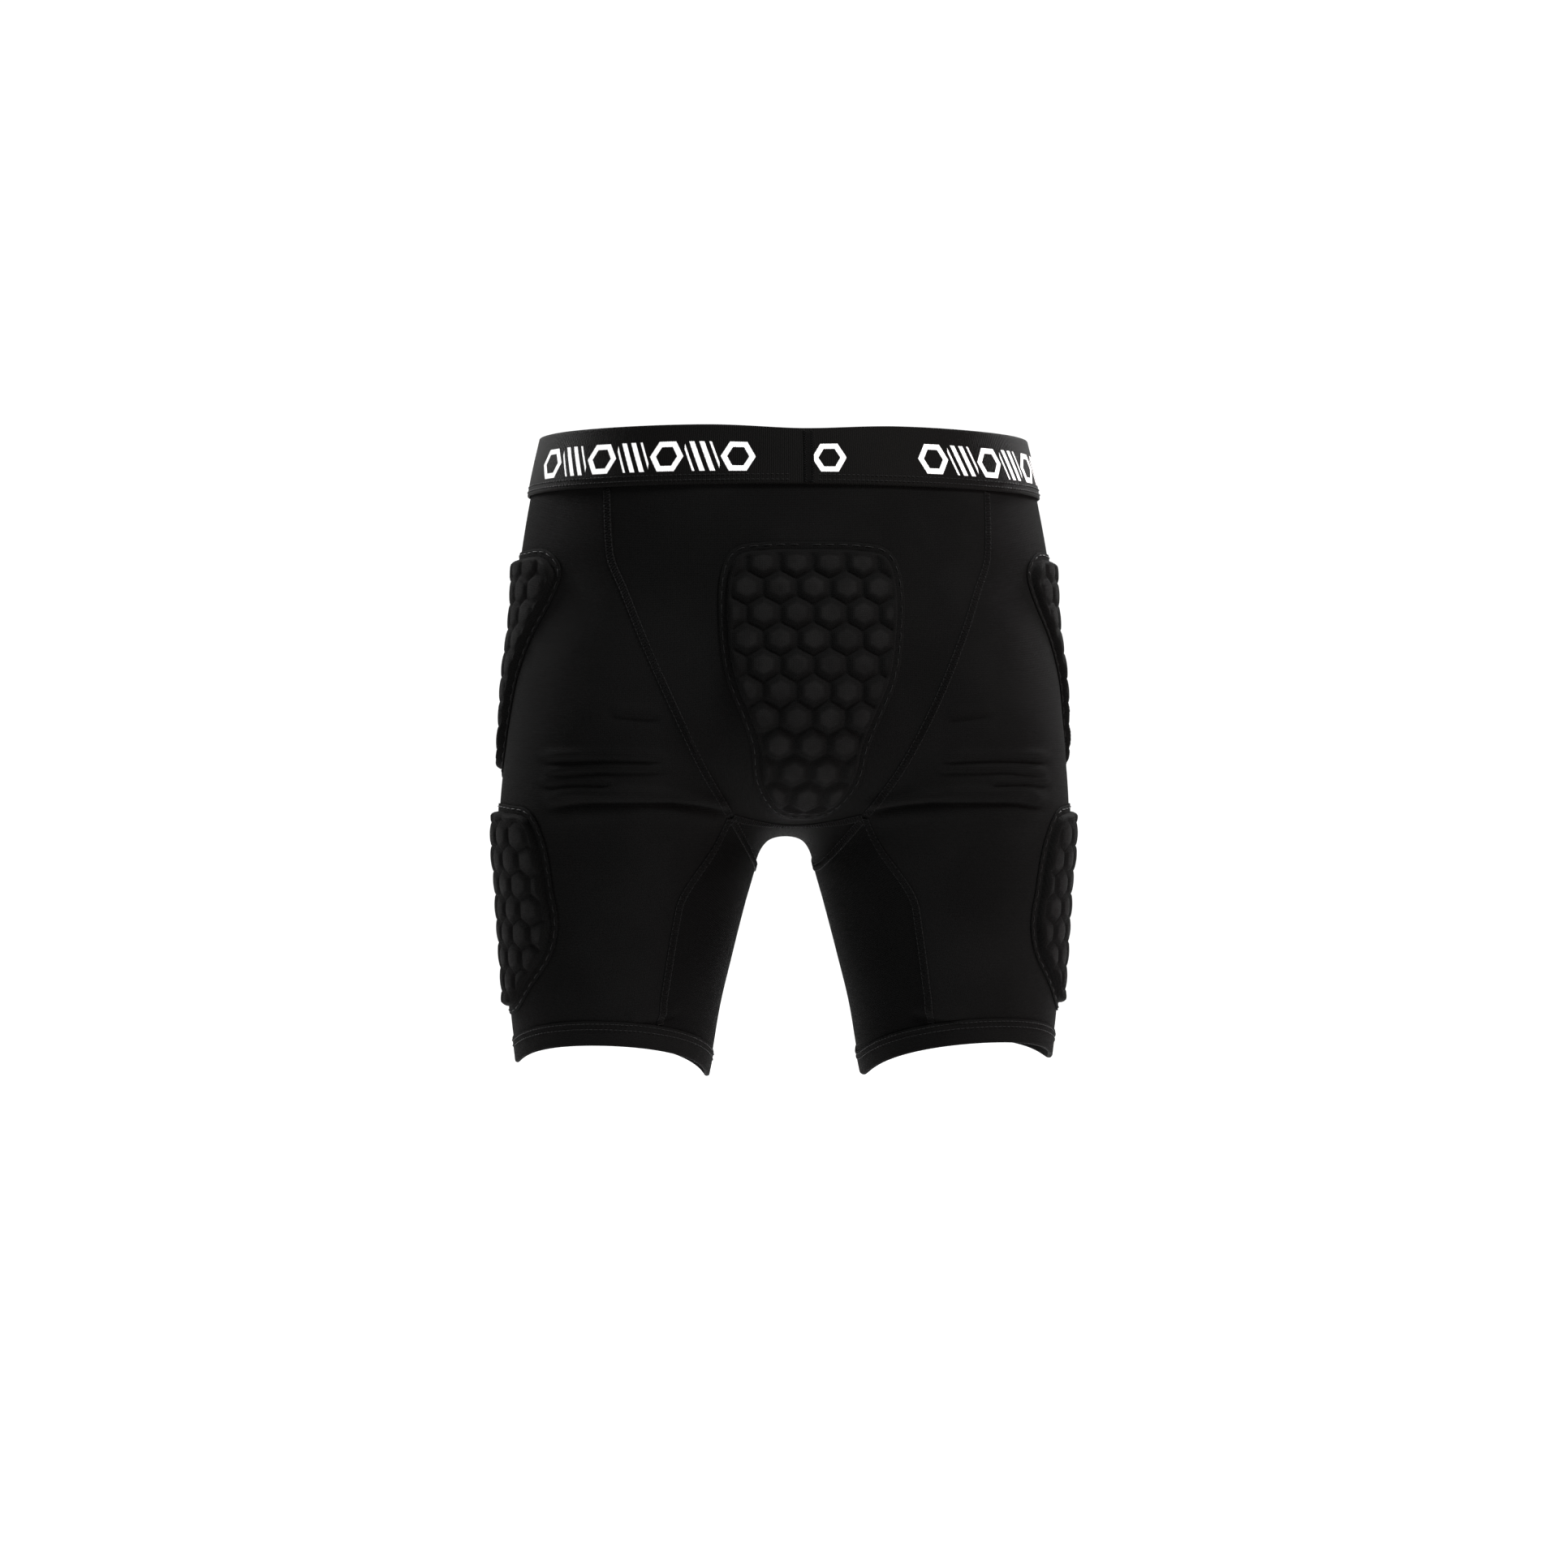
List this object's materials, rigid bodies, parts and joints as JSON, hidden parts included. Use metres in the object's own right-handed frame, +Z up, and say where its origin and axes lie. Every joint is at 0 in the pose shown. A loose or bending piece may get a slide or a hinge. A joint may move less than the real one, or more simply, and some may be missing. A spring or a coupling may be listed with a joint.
{
  "type": "padded impact shorts",
  "caption": "Close-fitting stretch shorts in their worn shape, with an elastic waistband and sewn-on cell-foam pads over tailbone, hips and thighs.",
  "frame": {"origin": "middle of the waist opening, level with the top edge of the waistband", "axes": "+Z up the wearer's body; -Y towards the wearer's back, the side with the tailbone pad; +X towards the wearer's right"},
  "size_m": [0.3834, 0.2515, 0.4128],
  "materials": {
    "shell_knit": "fine matt warp knit",
    "inner_knit": "matt stretch knit",
    "elastic": "ribbed woven elastic",
    "thread": "matt sewing thread",
    "pad_knit": "matt knit over foam",
    "foam": "closed-cell foam, matt"
  },
  "bodies": {
    "root": {"seat_panel": "shell_knit", "front_panel": "shell_knit", "crotch_gusset": "inner_knit", "waistband": "elastic", "waistband_join": "thread", "waistband_stitch": "thread", "seat_gusset_seam": "thread", "front_gusset_seam": "thread", "tailbone_pad_cover": "pad_knit", "tailbone_pad_foam": "foam", "tailbone_pad_stitch": "thread", "right_thigh_panel": "shell_knit", "right_inner_thigh_panel": "inner_knit", "right_hem_band": "shell_knit", "right_hem_stitch": "thread", "right_seat_seam": "thread", "right_inner_back_seam": "thread", "right_front_seam": "thread", "right_inner_front_seam": "thread", "right_gusset_seam": "thread", "right_hip_pad_cover": "pad_knit", "right_hip_pad_foam": "foam", "right_hip_pad_stitch": "thread", "right_thigh_pad_cover": "pad_knit", "right_thigh_pad_foam": "foam", "right_thigh_pad_stitch": "thread", "left_thigh_panel": "shell_knit", "left_inner_thigh_panel": "inner_knit", "left_hem_band": "shell_knit", "left_hem_stitch": "thread", "left_seat_seam": "thread", "left_inner_back_seam": "thread", "left_front_seam": "thread", "left_inner_front_seam": "thread", "left_gusset_seam": "thread", "left_hip_pad_cover": "pad_knit", "left_hip_pad_foam": "foam", "left_hip_pad_stitch": "thread", "left_thigh_pad_cover": "pad_knit", "left_thigh_pad_foam": "foam", "left_thigh_pad_stitch": "thread"}
  },
  "joints": []
}
